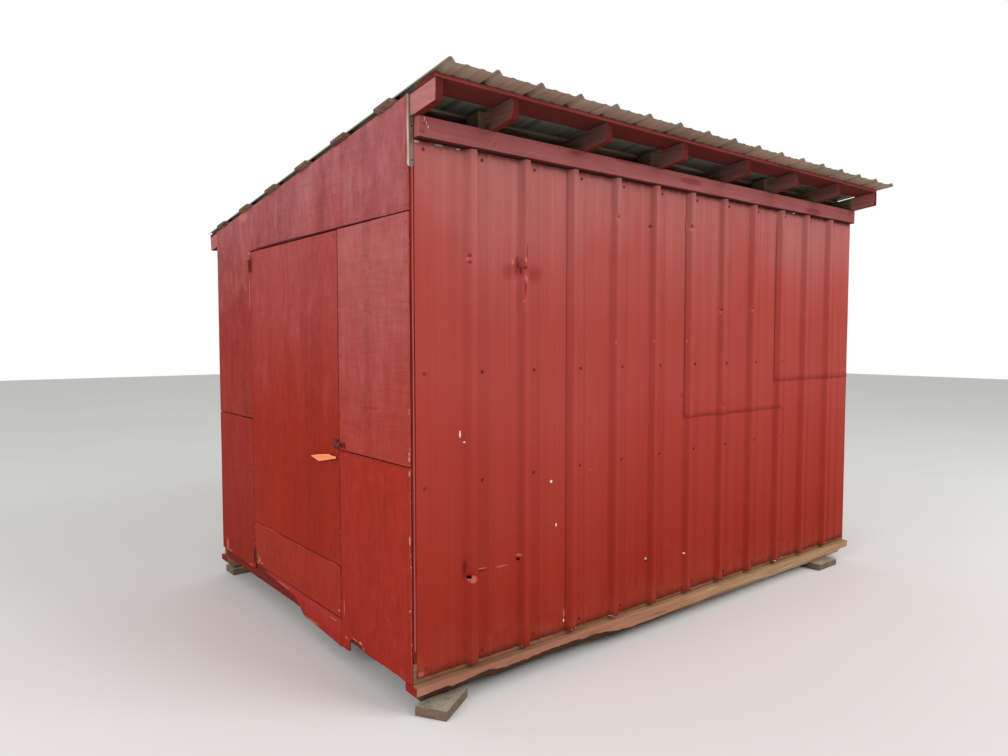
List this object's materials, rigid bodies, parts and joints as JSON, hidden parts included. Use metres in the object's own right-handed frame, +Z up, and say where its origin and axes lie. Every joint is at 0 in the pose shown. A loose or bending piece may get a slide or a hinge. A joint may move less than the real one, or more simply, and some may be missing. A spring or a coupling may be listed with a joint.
{
  "type": "storage shed",
  "caption": "Single-slope storage shed on timber skids, with ribbed steel long walls, plywood ends, a hinged plywood door with hasp, and a ribbed steel roof on open rafters.",
  "frame": {"origin": "on the ground under the centre of the bounding box", "axes": "+Z up, X along the long ribbed walls with the door end at -X, -Y towards the high front wall"},
  "size_m": [3.733, 2.9142, 2.6677],
  "materials": {
    "red_steel": "faded red paint on ribbed steel, chalky towards the top",
    "roof_steel": "weathered brown and grey-green coating on ribbed roofing",
    "red_plywood": "worn red paint on plywood",
    "red_lumber": "faded red paint on sawn boards",
    "bare_lumber": "unpainted sawn softwood, greyed with age",
    "weathered_lumber": "weathered timber with worn red paint and grey edges",
    "floor_plywood": "unpainted floor plywood",
    "hinge_steel": "red paint over rusting steel",
    "galvanised_steel": "dull galvanising"
  },
  "bodies": {
    "shed": {"back_girts": "bare_lumber", "back_header": "red_lumber", "back_sheets_over": "red_steel", "back_sheets_under": "red_steel", "back_studs": "bare_lumber", "base_blocks": "weathered_lumber", "corner_strap": "galvanised_steel", "door_end_left_panel": "red_plywood", "door_end_right_lower": "red_plywood", "door_end_right_upper": "red_plywood", "door_end_top_panel": "red_plywood", "door_jambs": "bare_lumber", "door_lintel": "bare_lumber", "door_sill": "red_lumber", "eave_purlin_back": "red_lumber", "eave_purlin_front": "red_lumber", "end_plates": "bare_lumber", "end_rafters": "red_lumber", "end_studs": "bare_lumber", "far_end_panels": "red_plywood", "floor_deck": "floor_plywood", "floor_joists": "bare_lumber", "floor_rims": "bare_lumber", "frame_hinge_leaves": "hinge_steel", "front_girts": "bare_lumber", "front_header": "red_lumber", "front_sheet_1": "red_steel", "front_sheet_2": "red_steel", "front_sheet_3_lower": "red_steel", "front_sheet_3_upper": "red_steel", "front_sheet_4_lower": "red_steel", "front_sheet_4_upper": "red_steel", "front_studs": "bare_lumber", "hasp_staple": "hinge_steel", "purlins": "bare_lumber", "rafters": "red_lumber", "roof_sheets_over": "roof_steel", "roof_sheets_under": "roof_steel", "skid_back": "weathered_lumber", "skid_front": "weathered_lumber", "wall_plates": "bare_lumber"},
    "door": {"door_leaf": "red_plywood", "door_patch": "red_plywood", "door_stiles": "bare_lumber", "door_ledges": "bare_lumber", "door_hinge_leaves": "hinge_steel", "hasp_plate": "hinge_steel"},
    "hasp": {"hasp_strap": "hinge_steel"}
  },
  "joints": [
    {"name": "door_hinge", "type": "hinge", "parent": "shed", "child": "door", "pos_m": [-1.8458, 0.653, 1.2], "axis": [0, 0, -1], "range_deg": [0, 105]},
    {"name": "hasp_hinge", "type": "hinge", "parent": "door", "child": "hasp", "pos_m": [-1.8448, -0.507, 1.09], "axis": [0, 0, -1], "range_deg": [0, 145]}
  ]
}
